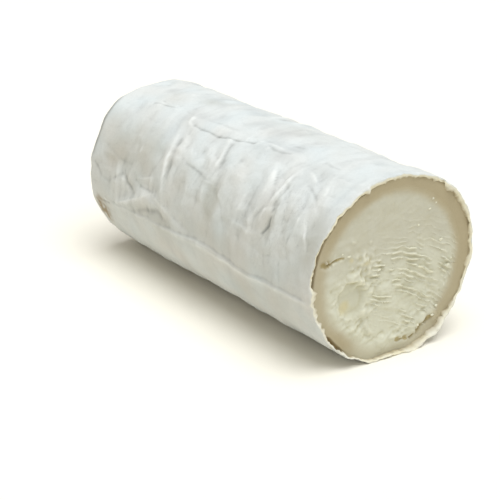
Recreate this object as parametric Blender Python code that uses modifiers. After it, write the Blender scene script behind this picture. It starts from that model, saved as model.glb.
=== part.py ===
"""A goat cheese log on its side, in metres, +Z up, with +X towards the cut end.

The log is two closed solids. The ripened layer is the soft paste under the rind, with the wrinkled
rind as its skin: it goes all round, closes the far end and is open where the log was cut. The core
is the chalky paste inside it, and its near face carries the marks that the knife left.
"""

import math
import random

import bmesh
import bpy
from mathutils import Vector, noise

# Driving dimensions. The middle line runs along X, and -Y is the side that shows best.
LOG_RADIUS = 0.0400
TOP_SAG = 0.985  # the soft log is a little lower than round
REST_DROP = 0.0380  # from the middle line down to the flat that the log rests on
REST_BLEND = 0.0004  # how softly the flat runs into the round
CUT_X = 0.0800  # where the cut crosses the middle line
CUT_SKEW = 0.08  # how far the cut runs out along X for each metre of Y
END_X = -0.0845  # the closed end

# The ripened layer and its rind
LAYER_THICKNESS = 0.0057
RIND_THICKNESS = 0.0012
PIECE_GAP = 0.00035  # between the layer and the core
LIP_HEIGHT = 0.0010  # how far the rind stands out past the cut paste where nothing else is said
GROOVE_DEPTH = 0.0007  # the furrow just inside the rind
END_WALL = 0.0060
END_EDGE_RADIUS = 0.0042
END_DOME = 0.0010

# The core
CORE_RADIUS = LOG_RADIUS - LAYER_THICKNESS
HOLLOW_RADIUS = CORE_RADIUS + PIECE_GAP

# How finely each shape is divided
AROUND = 80
WALL_RINGS = 46
EDGE_RINGS = 3
END_RINGS = 5
CORE_COLUMNS = 24
CORE_ROWS = 60

RIND_COLOUR = (0.83, 0.84, 0.81, 1.0)
CORE_COLOUR = (0.80, 0.78, 0.64, 1.0)
SEED = 7

# Folds of the rind: from (x, degrees) to (x, degrees), then half width and height. Degrees run from
# the top towards -Y. A negative height is a crease. Lean is the side that falls steeply.
SHOWN_FOLDS = (
    (-0.030, 25, 0.024, 21, 0.0034, 0.0011, 1),  # the long flap on top
    (0.016, 21, 0.031, 20, 0.0024, 0.0009, 1),
    (0.028, 13, 0.043, 15, 0.0024, -0.0007, 0),
    (-0.064, 24, -0.047, 21, 0.0030, 0.0012, 1),
    (-0.062, 22, -0.052, 4, 0.0028, 0.0008, -1),
    (-0.029, 40, -0.026, 57, 0.0024, 0.0010, 1),
    (-0.026, 57, -0.022, 78, 0.0024, 0.0010, 1),
    (-0.025, 34, -0.014, 50, 0.0024, -0.0008, 0),
    (-0.014, 50, 0.006, 57, 0.0026, 0.0010, -1),
    (0.001, 30, 0.007, 53, 0.0022, 0.0009, 1),
    (0.035, 33, 0.041, 47, 0.0024, 0.0009, 1),
    (0.047, 31, 0.045, 57, 0.0026, 0.0011, -1),
    (0.048, 54, 0.050, 72, 0.0022, -0.0009, 0),
    (0.055, 26, 0.068, 46, 0.0026, 0.0010, 1),
    (0.065, 27, 0.071, 41, 0.0022, 0.0008, 1),
    (0.066, 27, 0.080, 21, 0.0024, 0.0008, -1),
    (0.059, 42, 0.064, 68, 0.0022, 0.0007, 1),
    (-0.080, 98, 0.079, 98, 0.0022, 0.0007, -1),  # the long seam down the side
    (0.028, 109, 0.058, 117, 0.0024, 0.0007, 1),
    (-0.057, 97, -0.036, 84, 0.0026, 0.0010, 1),
    (-0.036, 84, -0.006, 94, 0.0026, 0.0010, 1),
    (-0.054, 74, -0.048, 86, 0.0024, -0.0007, 0),
    (-0.044, 76, -0.028, 79, 0.0024, -0.0007, 0),
)
HIDDEN_FOLDS = 26  # more of the same on the sides that don't show
HIDDEN_FROM = -170
HIDDEN_TO = -20

# Dents and swellings of the rind: x, degrees, half length, half width across, height
SWELLINGS = (
    (-0.040, 2, 0.007, 0.008, -0.0012),
    (-0.058, -20, 0.010, 0.012, 0.0011),
    (0.011, 68, 0.006, 0.008, -0.0010),
    (-0.062, 62, 0.014, 0.016, -0.0007),
    (-0.055, 108, 0.016, 0.010, -0.0009),
    (0.074, 33, 0.006, 0.010, -0.0006),
    (0.030, 62, 0.012, 0.016, 0.0005),
    (-0.080, 8, 0.007, 0.008, -0.0014),
    (0.078, 148, 0.014, 0.015, -0.0014),
    (-0.079, 114, 0.006, 0.009, 0.0006),
)

# The rind's ragged lip at the cut: degrees, how far it stands out past the paste
LIP_OUTLINE = (
    (-180, 0.0030),
    (-171, 0.0022),
    (-163, 0.0036),
    (-142, 0.0033),
    (-134, 0.0022),
    (-118, 0.0026),
    (-100, 0.0010),
    (-90, 0.0020),
    (-68, 0.0010),
    (-50, 0.0017),
    (-38, -0.0003),
    (-29, 0.0014),
    (-4, 0.0006),
    (12, 0.0004),
    (21, 0.0015),
    (45, 0.0008),
    (74, 0.0012),
    (92, 0.0024),
    (104, 0.0008),
    (117, 0.0019),
    (128, 0.0008),
    (139, 0.0028),
    (160, 0.0032),
    (180, 0.0030),
)
# Where the rind has come away from the paste: degrees, half width in degrees, depth
GAPS_AT_RIND = ((76, 12, 0.0022), (131, 8, 0.0026), (-160, 10, 0.0010))

# What the knife left on the core's face, in Y and Z from the middle line
RIPPLE_PITCH = 0.0034
RIPPLE_HEIGHT = 0.0011
RIPPLE_SLOPE = 0.30  # the ripples fall towards +Y
RIPPLE_ARCH = 7.0
RIPPLE_CENTRE = (0.011, -0.008)
RIPPLE_REACH = (0.021, 0.021)
SCOOPS = (  # y, z, half width, half height, depth
    (-0.0215, -0.006, 0.0060, 0.0080, 0.0018),
    (-0.004, -0.022, 0.0070, 0.0050, 0.0005),
)
LUMPS = (  # y, z, half width, height
    (-0.0235, 0.0105, 0.0028, 0.0012),
    (-0.0165, 0.0065, 0.0026, 0.0015),
    (-0.0100, 0.0015, 0.0024, 0.0012),
    (-0.0195, 0.0005, 0.0022, 0.0015),
    (-0.0145, -0.0035, 0.0024, 0.0014),
    (-0.0270, 0.0120, 0.0022, 0.0006),
    (0.0190, -0.0200, 0.0026, 0.0008),
    (-0.0060, -0.0265, 0.0026, 0.0006),
)
CRACKS = (  # y, z to y, z, half width, depth
    (-0.032, 0.0095, -0.026, 0.0105, 0.0012, 0.0018),
    (0.011, -0.0290, 0.0165, -0.0240, 0.0014, 0.0020),
    (0.000, -0.0310, 0.0080, -0.0300, 0.0012, 0.0016),
)


def clear_scene():
    for obj in list(bpy.data.objects):
        bpy.data.objects.remove(obj)


def bell(distance):
    """1 at the middle, falling smoothly to nothing about two half widths out."""
    return math.exp(-distance * distance)


def smooth_step(low, high, value):
    share = min(1.0, max(0.0, (value - low) / (high - low)))
    return share * share * (3 - 2 * share)


def angle_between(first, second):
    """Degrees from the second angle to the first, the short way round."""
    return (first - second + 180) % 360 - 180


def along_and_across(start, end, point):
    """Where a flat point lies along a stretch, from 0 to 1, and its signed distance off it."""
    run_u, run_v = end[0] - start[0], end[1] - start[1]
    length = math.hypot(run_u, run_v)
    off_u, off_v = point[0] - start[0], point[1] - start[1]
    along = (off_u * run_u + off_v * run_v) / (length * length)
    across = (off_u * run_v - off_v * run_u) / length
    return along, across, length


def fold_height(fold, x, degrees):
    """Height that one fold adds to the rind at a place on it."""
    x1, degrees1, x2, degrees2, half_width, height, lean = fold
    per_degree = LOG_RADIUS * math.pi / 180
    end = (x2, angle_between(degrees2, degrees1) * per_degree)
    point = (x, angle_between(degrees, degrees1) * per_degree)
    along, across, length = along_and_across((x1, 0.0), end, point)
    past_the_ends = max(0.0, -along, along - 1) * length
    side = across * lean
    reach = half_width * (0.65 if side > 0 else 1.5) if lean else half_width
    return height * bell(across / reach) * bell(past_the_ends / (1.5 * half_width))


def hidden_folds():
    """Seeded folds for the back, mostly running round the log as the ones in front do."""
    draw = random.Random(SEED)
    folds = []
    for _ in range(HIDDEN_FOLDS):
        x = draw.uniform(END_X + 0.012, CUT_X - 0.010)
        degrees = draw.uniform(HIDDEN_FROM, HIDDEN_TO)
        turn = draw.uniform(10, 30)
        drift = draw.uniform(-0.010, 0.010)
        height = draw.choice((-0.0008, 0.0008, 0.0011))
        lean = draw.choice((-1, 1)) if height > 0 else 0
        folds.append((x, degrees, x + drift, degrees + turn, 0.0025, height, lean))
    folds.append((-0.070, -104, 0.055, -96, 0.0026, 0.0006, 1))
    return folds


def rind_relief(x, degrees, folds):
    """How far the rind stands out from the plain round log."""
    turn = math.radians(degrees)
    drift = Vector((x / 0.045, 1.1 * math.cos(turn), 1.1 * math.sin(turn)))
    stripes = Vector((x / 0.011, 1.6 * math.cos(turn), 1.6 * math.sin(turn)))
    relief = 0.0009 * noise.noise(drift) + 0.0006 * noise.noise(stripes)
    for fold in folds:
        relief += fold_height(fold, x, degrees)
    for at_x, at_degrees, half_x, half_across, height in SWELLINGS:
        across = angle_between(degrees, at_degrees) * LOG_RADIUS * math.pi / 180
        relief += height * bell(math.hypot((x - at_x) / half_x, across / half_across))
    return relief


def end_pleats(radius, degrees):
    """Relief of the closed end, where the rind was gathered: pleats that run in towards the middle."""
    turn = math.radians(degrees)
    twist = 0.6 * noise.noise(Vector((radius / 0.012, math.cos(turn), math.sin(turn))))
    pleat = abs(math.sin(5.5 * (turn + twist))) - 0.5
    dimple = -0.0012 * bell(radius / 0.006)
    return 0.0009 * pleat * smooth_step(0.004, 0.024, radius) + dimple


def lip_share(degrees):
    """How far the rind's lip stands out at an angle, as a share of its plain height."""
    turn = math.radians(degrees)
    height = 0.0
    for (before, low), (after, high) in zip(LIP_OUTLINE, LIP_OUTLINE[1:]):
        if before <= degrees <= after:
            height = low + (high - low) * smooth_step(before, after, degrees)
    height += 0.0009 * noise.noise(Vector((8.0 * math.cos(turn), 8.0 * math.sin(turn), 9.0)))
    return max(-0.0004, height) / LIP_HEIGHT


def groove_share(degrees):
    """How deep the furrow inside the rind is, as a share of its plain depth."""
    share = 1.0
    for at, half, depth in GAPS_AT_RIND:
        share += depth / GROOVE_DEPTH * bell(angle_between(degrees, at) / half)
    return share


def section_point(radius, degrees):
    """Y and Z of a point of the log's slightly sagging section, flat where it rests."""
    turn = math.radians(degrees)
    y = -radius * math.sin(turn)
    z = radius * math.cos(turn)
    z *= TOP_SAG if z > 0 else 1
    closeness = max(0.0, REST_BLEND - abs(z + REST_DROP)) / REST_BLEND
    z = max(z, -REST_DROP) + closeness * closeness * REST_BLEND / 4
    return y, z


def layer_point(x, radius, degrees, folds):
    """Moves a point of the plain turned layer to where the real surface is."""
    skin = smooth_step(0.92 * LOG_RADIUS, 0.97 * LOG_RADIUS, radius)
    near_cut = smooth_step(CUT_X - 0.004, CUT_X - 0.001, x)
    lip = x - CUT_X
    if lip > 0:
        x = CUT_X + lip * lip_share(degrees)
    elif near_cut == 1 and lip < 0:
        x = CUT_X + lip * groove_share(degrees)
    wall = radius + skin * (1 - 0.5 * near_cut) * rind_relief(x, degrees, folds)
    at_end = smooth_step(END_X + END_EDGE_RADIUS, END_X, x) * smooth_step(0, 0.001, END_X + END_WALL - x)
    x -= at_end * end_pleats(radius, degrees)
    y, z = section_point(wall, degrees)
    x += CUT_SKEW * y * smooth_step(END_X, CUT_X, x)
    return Vector((x, y, z + REST_DROP))


def layer_profile():
    """Half outline of the layer, from the hollow's floor, out over the cut and down the wall to the end."""
    rind_inside = LOG_RADIUS - RIND_THICKNESS
    wall_from = CUT_X - 0.0012
    wall_to = END_X + END_EDGE_RADIUS
    points = [(END_X + END_WALL, 0.0), (END_X + END_WALL, HOLLOW_RADIUS), (CUT_X, HOLLOW_RADIUS)]
    points += [(CUT_X, 0.5 * (HOLLOW_RADIUS + rind_inside)), (CUT_X, rind_inside - 0.0013)]
    points += [(CUT_X - GROOVE_DEPTH, rind_inside - 0.0004)]
    points += [(CUT_X + LIP_HEIGHT, rind_inside + 0.0002), (CUT_X + LIP_HEIGHT, LOG_RADIUS - 0.0002)]
    for ring in range(WALL_RINGS):
        points.append((wall_from + (wall_to - wall_from) * ring / (WALL_RINGS - 1), LOG_RADIUS))
    for ring in range(1, EDGE_RINGS + 1):
        turn = 0.5 * math.pi * ring / EDGE_RINGS
        drop = END_EDGE_RADIUS * (1 - math.cos(turn))
        points.append((wall_to - END_EDGE_RADIUS * math.sin(turn), LOG_RADIUS - drop))
    face_radius = LOG_RADIUS - END_EDGE_RADIUS
    for ring in range(1, END_RINGS + 1):
        share = 1 - ring / END_RINGS
        points.append((END_X - END_DOME * (1 - share * share), face_radius * share))
    return points


def knife_marks(y, z):
    """Height of the core's cut face above its plane."""
    off_y, off_z = y - RIPPLE_CENTRE[0], z - RIPPLE_CENTRE[1]
    where = bell(math.hypot(off_y / RIPPLE_REACH[0], off_z / RIPPLE_REACH[1]))
    where *= smooth_step(-0.014, 0.001, y)
    warp = 0.0016 * noise.noise(Vector((y / 0.007, z / 0.007, 1.0)))
    phase = (z + RIPPLE_SLOPE * off_y + RIPPLE_ARCH * off_y * off_y + warp) / RIPPLE_PITCH
    saw = phase % 1.0
    ripple = saw / 0.7 if saw < 0.7 else (1 - saw) / 0.3
    height = RIPPLE_HEIGHT * where * (ripple - 0.5)
    height += 0.0003 * noise.noise(Vector((y / 0.005, z / 0.004, 5.0)))
    for at_y, at_z, half_y, half_z, depth in SCOOPS:
        height -= depth * bell(math.hypot((y - at_y) / half_y, (z - at_z) / half_z) ** 2)
    for at_y, at_z, half, rise in LUMPS:
        height += rise * bell(math.hypot(y - at_y, z - at_z) / half)
    for y1, z1, y2, z2, half, depth in CRACKS:
        along, across, length = along_and_across((y1, z1), (y2, z2), (y, z))
        past_the_ends = max(0.0, -along, along - 1) * length
        height -= depth * bell(math.hypot(across, past_the_ends) / half)
    return height


def material(name, colour, roughness):
    made = bpy.data.materials.new(name)
    made.use_nodes = True
    shader = made.node_tree.nodes["Principled BSDF"]
    shader.inputs["Base Color"].default_value = colour
    shader.inputs["Roughness"].default_value = roughness
    shader.inputs["Metallic"].default_value = 0.0
    return made


def finish_object(bm, name, collection, finish):
    """Makes the part's object from the edited mesh, with outward faces and soft shading."""
    bmesh.ops.recalc_face_normals(bm, faces=bm.faces)
    mesh = bpy.data.meshes.new(name)
    bm.to_mesh(mesh)
    bm.free()
    mesh.materials.append(finish)
    mesh.shade_smooth()
    mesh.set_sharp_from_angle(angle=math.radians(50))
    obj = bpy.data.objects.new(name, mesh)
    collection.objects.link(obj)
    return obj


def turned_mesh(profile):
    """The profile turned once round X by a Screw modifier, as a new mesh."""
    outline = bpy.data.meshes.new("layer_outline")
    edges = [(i, i + 1) for i in range(len(profile) - 1)]
    outline.from_pydata([(x, 0.0, radius) for x, radius in profile], edges, [])
    guide = bpy.data.objects.new("layer_guide", outline)
    bpy.context.scene.collection.objects.link(guide)
    turn = guide.modifiers.new("turn", "SCREW")
    turn.axis = "X"
    turn.steps = AROUND
    turn.render_steps = AROUND
    turn.use_merge_vertices = True
    turn.merge_threshold = 0.00001
    graph = bpy.context.evaluated_depsgraph_get()
    mesh = bpy.data.meshes.new_from_object(guide.evaluated_get(graph))
    bpy.data.objects.remove(guide)
    return mesh


def build_ripened_layer(collection):
    """The soft paste under the rind, cup shaped, with the rind's folds, ragged lip and pleated end."""
    bm = bmesh.new()
    bm.from_mesh(turned_mesh(layer_profile()))
    bmesh.ops.remove_doubles(bm, verts=bm.verts, dist=0.00001)
    folds = list(SHOWN_FOLDS) + hidden_folds()
    for vert in bm.verts:
        x, y, z = vert.co
        vert.co = layer_point(x, math.hypot(y, z), math.degrees(math.atan2(-y, z)), folds)
    return finish_object(bm, "ripened_layer", collection, material("white_rind", RIND_COLOUR, 0.8))


def build_core(collection):
    """The chalky paste: a disc of grid squares for the knife's marks, drawn back to the closed end."""
    bm = bmesh.new()
    bmesh.ops.create_grid(bm, x_segments=CORE_COLUMNS, y_segments=CORE_ROWS, size=1.0)
    for vert in bm.verts:
        across, up = vert.co.x, vert.co.y
        y = CORE_RADIUS * across * math.sqrt(1 - up * up / 2)
        z = CORE_RADIUS * up * math.sqrt(1 - across * across / 2)
        inside = 1 - smooth_step(0.93, 1.0, math.hypot(y, z) / CORE_RADIUS)
        x = CUT_X + CUT_SKEW * y + inside * knife_marks(y, z)
        vert.co = (x, y, (TOP_SAG if z > 0 else 1) * z + REST_DROP)
    rim = [edge for edge in bm.edges if edge.is_boundary]
    drawn = bmesh.ops.extrude_edge_only(bm, edges=rim)["geom"]
    for vert in [item for item in drawn if isinstance(item, bmesh.types.BMVert)]:
        vert.co.x = END_X + END_WALL + PIECE_GAP
    bmesh.ops.holes_fill(bm, edges=[edge for edge in bm.edges if edge.is_boundary])
    return finish_object(bm, "chalky_core", collection, material("chalky_paste", CORE_COLOUR, 0.7))


def main():
    clear_scene()
    collection = bpy.data.collections.new("goat_cheese_log")
    bpy.context.scene.collection.children.link(collection)
    build_ripened_layer(collection)
    build_core(collection)


main()
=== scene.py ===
"""Looks of a goat cheese log: a wrinkled white rind, the creamy layer under it and a chalky core.

Every surface is a grid of points worked out in metres in the log's own frame: X runs along the log
towards the cut, Z is up, and angles run from the top towards -Y in degrees.
"""

import math
import random

import bpy
import numpy as np
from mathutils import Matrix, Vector, noise


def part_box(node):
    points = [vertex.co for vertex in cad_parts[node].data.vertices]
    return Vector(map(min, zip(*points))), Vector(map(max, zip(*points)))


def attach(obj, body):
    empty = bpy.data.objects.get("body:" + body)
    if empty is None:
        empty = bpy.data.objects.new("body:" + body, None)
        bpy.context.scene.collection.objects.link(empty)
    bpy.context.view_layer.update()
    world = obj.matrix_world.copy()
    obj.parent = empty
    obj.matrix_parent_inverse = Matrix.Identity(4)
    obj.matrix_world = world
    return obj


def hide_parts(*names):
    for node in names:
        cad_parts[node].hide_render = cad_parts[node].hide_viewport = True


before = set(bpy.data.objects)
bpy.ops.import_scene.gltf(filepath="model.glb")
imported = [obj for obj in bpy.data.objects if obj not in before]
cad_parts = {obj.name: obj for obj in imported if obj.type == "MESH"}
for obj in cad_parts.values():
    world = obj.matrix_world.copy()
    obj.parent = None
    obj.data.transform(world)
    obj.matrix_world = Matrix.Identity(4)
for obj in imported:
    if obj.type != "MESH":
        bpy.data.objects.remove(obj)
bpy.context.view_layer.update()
CORE_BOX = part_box("chalky_core")

bl_info = {
    "name": "Goat cheese log",
    "version": (1, 0, 0),
    "blender": (4, 5, 0),
    "location": "3D View > Sidebar > Cheese",
    "description": "Builds the rind, the pastes, the crumbs and the stage of a goat cheese log",
    "category": "Object",
}

# The log's form, as in the solids
LOG_RADIUS = 0.0400
TOP_SAG = 0.985
REST_DROP = 0.0380
REST_BLEND = 0.0004
CUT_X = 0.0800
CUT_SKEW = 0.08
END_X = -0.0845
RIND_THICKNESS = 0.0012
END_WALL = 0.0060
END_EDGE_RADIUS = 0.0042
END_DOME = 0.0010
CORE_RADIUS = 0.0343
PER_DEGREE = LOG_RADIUS * math.pi / 180  # length on the rind for one degree

# Broad folds: from (x, degrees) to (x, degrees), half width, height, side that falls steeply
SHOWN_FOLDS = (
    (-0.030, 25, 0.024, 21, 0.0034, 0.0011, 1),
    (0.016, 21, 0.031, 20, 0.0024, 0.0009, 1),
    (0.028, 13, 0.043, 15, 0.0024, -0.0007, 0),
    (-0.064, 24, -0.047, 21, 0.0030, 0.0012, 1),
    (-0.062, 22, -0.052, 4, 0.0028, 0.0008, -1),
    (-0.029, 40, -0.026, 57, 0.0024, 0.0010, 1),
    (-0.026, 57, -0.022, 78, 0.0024, 0.0010, 1),
    (-0.025, 34, -0.014, 50, 0.0024, -0.0008, 0),
    (-0.014, 50, 0.006, 57, 0.0026, 0.0010, -1),
    (0.001, 30, 0.007, 53, 0.0022, 0.0009, 1),
    (0.035, 33, 0.041, 47, 0.0024, 0.0009, 1),
    (0.047, 31, 0.045, 57, 0.0026, 0.0011, -1),
    (0.048, 54, 0.050, 72, 0.0022, -0.0009, 0),
    (0.055, 26, 0.068, 46, 0.0026, 0.0010, 1),
    (0.065, 27, 0.071, 41, 0.0022, 0.0008, 1),
    (0.066, 27, 0.080, 21, 0.0024, 0.0008, -1),
    (0.059, 42, 0.064, 68, 0.0022, 0.0007, 1),
    (-0.080, 98, 0.079, 98, 0.0022, 0.0007, -1),
    (0.028, 109, 0.058, 117, 0.0024, 0.0007, 1),
    (-0.057, 97, -0.036, 84, 0.0026, 0.0010, 1),
    (-0.036, 84, -0.006, 94, 0.0026, 0.0010, 1),
    (-0.054, 74, -0.048, 86, 0.0024, -0.0007, 0),
    (-0.044, 76, -0.028, 79, 0.0024, -0.0007, 0),
)
HIDDEN_FOLDS = 26
HIDDEN_FROM = -170
HIDDEN_TO = -20
FOLD_SEED = 7

# Dents and swellings: x, degrees, half length, half width across, height
SWELLINGS = (
    (-0.040, 2, 0.007, 0.008, -0.0012),
    (-0.058, -20, 0.010, 0.012, 0.0011),
    (0.011, 68, 0.006, 0.008, -0.0010),
    (-0.062, 62, 0.014, 0.016, -0.0007),
    (-0.055, 108, 0.016, 0.010, -0.0009),
    (0.074, 33, 0.006, 0.010, -0.0006),
    (0.030, 62, 0.012, 0.016, 0.0005),
    (-0.080, 8, 0.007, 0.008, -0.0014),
    (0.078, 148, 0.014, 0.015, -0.0014),
    (-0.079, 114, 0.006, 0.009, 0.0006),
)

# The rind's ragged lip at the cut: degrees, then in mm how far it stands out past the paste, how wide
# its inner side slopes down to the paste, how deep and how wide the gap at its foot is, how far the rim
# swells out there, and last how white it is
LIP = (
    (-180, 2.4, 1.4, 0.0, 1.3, 0.0, 0.0),
    (-171, 3.0, 1.7, 0.0, 1.3, 0.2, 0.25),
    (-160, 3.0, 2.2, 0.0, 1.3, 0.6, 0.5),
    (-146, 2.6, 2.7, 0.0, 1.3, 0.8, 0.6),
    (-131, 1.8, 2.2, 0.0, 1.3, 0.4, 0.55),
    (-121, 0.7, 1.2, 0.0, 1.3, 0.3, 0.4),
    (-108, 0.6, 1.4, 0.0, 1.3, 0.6, 0.3),
    (-100, 0.8, 2.2, 0.0, 1.3, 0.9, 0.2),
    (-90, 0.8, 2.0, 0.0, 1.3, 1.1, 0.2),
    (-78, 0.8, 2.0, 0.0, 1.3, 1.2, 0.15),
    (-66, 1.0, 2.0, 0.0, 1.3, 1.1, 0.2),
    (-50, 1.2, 2.4, 0.0, 1.3, 1.0, 0.25),
    (-41, 1.5, 3.0, 0.1, 1.3, 1.0, 0.5),
    (-37, -0.3, 0.8, 0.2, 1.3, 0.9, 0.1),
    (-29, 0.9, 2.0, 0.1, 1.3, 0.6, 0.3),
    (-4, 0.6, 2.2, 0.1, 1.3, 0.1, 0.35),
    (12, 0.5, 1.8, 0.1, 1.3, 0.0, 0.3),
    (19, 0.6, 1.6, 0.2, 1.3, 0.0, 0.3),
    (21, 1.5, 2.2, 0.3, 1.3, 0.0, 0.6),
    (24, 0.5, 1.0, 0.4, 1.3, 0.0, 0.2),
    (45, 0.6, 0.9, 0.4, 1.3, 0.0, 0.1),
    (58, 0.4, 0.8, 0.8, 1.2, 0.0, 0.1),
    (72, 0.2, 0.6, 2.0, 1.3, 0.2, 0.1),
    (87, 0.2, 0.7, 2.6, 1.6, 0.5, 0.2),
    (91, 1.5, 3.2, 0.1, 1.3, 0.5, 0.5),
    (104, 0.8, 2.6, 0.1, 1.3, 0.2, 0.6),
    (117, 1.2, 3.0, 0.0, 1.3, 0.0, 0.6),
    (124, 0.6, 1.9, 0.5, 1.4, 0.0, 0.7),
    (127, 0.5, 1.3, 2.2, 2.0, 0.0, 0.6),
    (137, 0.8, 1.3, 1.6, 1.8, 0.0, 0.6),
    (145, 1.8, 1.5, 0.1, 1.3, 0.0, 0.6),
    (158, 2.2, 1.3, 0.0, 1.3, 0.0, 0.3),
    (180, 2.6, 1.2, 0.0, 1.3, 0.0, 0.25),
)
RIM_REACH = 0.014  # how far from the cut the swelling of the rim fades out

# How strongly the creamy ring under the rind is coloured, by degrees
RING_STRENGTH = (
    (-180, 0.25), (-150, 0.45), (-125, 0.75), (-90, 1.0), (-45, 1.1), (0, 1.15),
    (45, 0.98), (80, 0.60), (110, 0.62), (135, 0.88), (158, 0.3), (180, 0.25),
)

# The lip's section from its foot over its tip to the wall, as shares of its height and width
SLOPED_LIP = (
    (-1, 1.12), (-0.25, 1.04), (0.12, 0.95), (0.36, 0.78), (0.62, 0.58),
    (0.85, 0.38), (1, 0.2), (0.95, 0.07), (0.75, 0), (0.35, 0),
)
FLAT_LIP = (
    (-1, 1.08), (-0.25, 1.04), (0.3, 1.0), (0.8, 0.95), (1, 0.8),
    (1.05, 0.5), (1, 0.25), (0.93, 0.1), (0.7, 0), (0.35, 0),
)

# How ragged the lip is: layers of strength, fineness and shift
RAGGED_TIP = ((0.9, 6, 9.0), (0.9, 15, 5.0), (0.4, 36, 8.0))
TORN_FOOT = ((0.9, 9, 13.0), (1.0, 19, 15.0), (0.5, 44, 19.0))
CURLED_RIM = ((1.0, 6, 2.0), (0.5, 19, 6.0))

# What the knife left on the cut, in Y and Z from the middle line: first the ripples
RIPPLE_PITCH = 0.0025
RIPPLE_SLOPE = 0.42
RIPPLE_FAN = 8.0
RIPPLE_ARCH = 5.0
RIPPLE_CENTRE = (0.009, -0.005)
RIPPLE_REACH = (0.024, 0.023)
# Scooped hollows: y, z, half sizes and depth
SCOOPS = (
    (-0.0195, -0.0085, 0.0062, 0.0072, 0.0020),
    (-0.004, -0.022, 0.0070, 0.0050, 0.0004),
)
# y, z, half sizes and strength
YELLOW_SPOTS = (
    (-0.0218, -0.0120, 0.0028, 0.0026, 0.7),
    (-0.0205, 0.0085, 0.0010, 0.0010, 0.5),
    (-0.0135, 0.0060, 0.0020, 0.0012, 0.4),
)
FEATHER = 0.00015  # how far each paste dips under the other where they meet

# y, z, size and height
LUMPS = (
    (-0.0235, 0.0110, 0.0026, 0.0005),
    (-0.0180, 0.0058, 0.0022, 0.0006),
    (-0.0145, 0.0066, 0.0025, 0.0009),
    (-0.0120, 0.0092, 0.0022, 0.0007),
    (-0.0096, 0.0016, 0.0028, 0.0010),
    (-0.0192, 0.0006, 0.0028, 0.0015),
    (-0.0158, -0.0018, 0.0024, 0.0013),
    (-0.0128, -0.0044, 0.0018, 0.0008),
    (-0.0110, 0.0052, 0.0020, 0.0009),
    (-0.0290, 0.0120, 0.0020, 0.0005),
    (0.0215, -0.0245, 0.0028, 0.0009),
    (0.0160, -0.0262, 0.0024, 0.0008),
    (0.0120, -0.0300, 0.0022, 0.0007),
    (0.0228, -0.0278, 0.0018, 0.0006),
    (0.0060, -0.0300, 0.0024, 0.0006),
    (-0.0040, -0.0325, 0.0026, 0.0006),
)
LUMP_BAND = (-0.0165, 0.0035, 0.0085, 0.0050)  # small lumps: middle, half length and half width
SMALL_LUMPS = 34
LUMP_SEED = 72
# From y and z to y and z, half width and depth
CRACKS = (
    (-0.0332, 0.0092, -0.0305, 0.0088, 0.0015, 0.0013),
    (-0.0305, 0.0088, -0.0245, 0.0104, 0.0007, 0.0007),
    (0.0034, -0.0318, 0.0105, -0.0331, 0.0010, 0.0007),
    (0.0105, -0.0331, 0.0138, -0.0314, 0.0012, 0.0009),
    (0.0138, -0.0314, 0.0180, -0.0282, 0.0016, 0.0013),
    (0.0180, -0.0282, 0.0208, -0.0266, 0.0013, 0.0010),
)

# Share of the solids' broad folds that the finer skin keeps
FOLD_SHARE = 0.5

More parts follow.
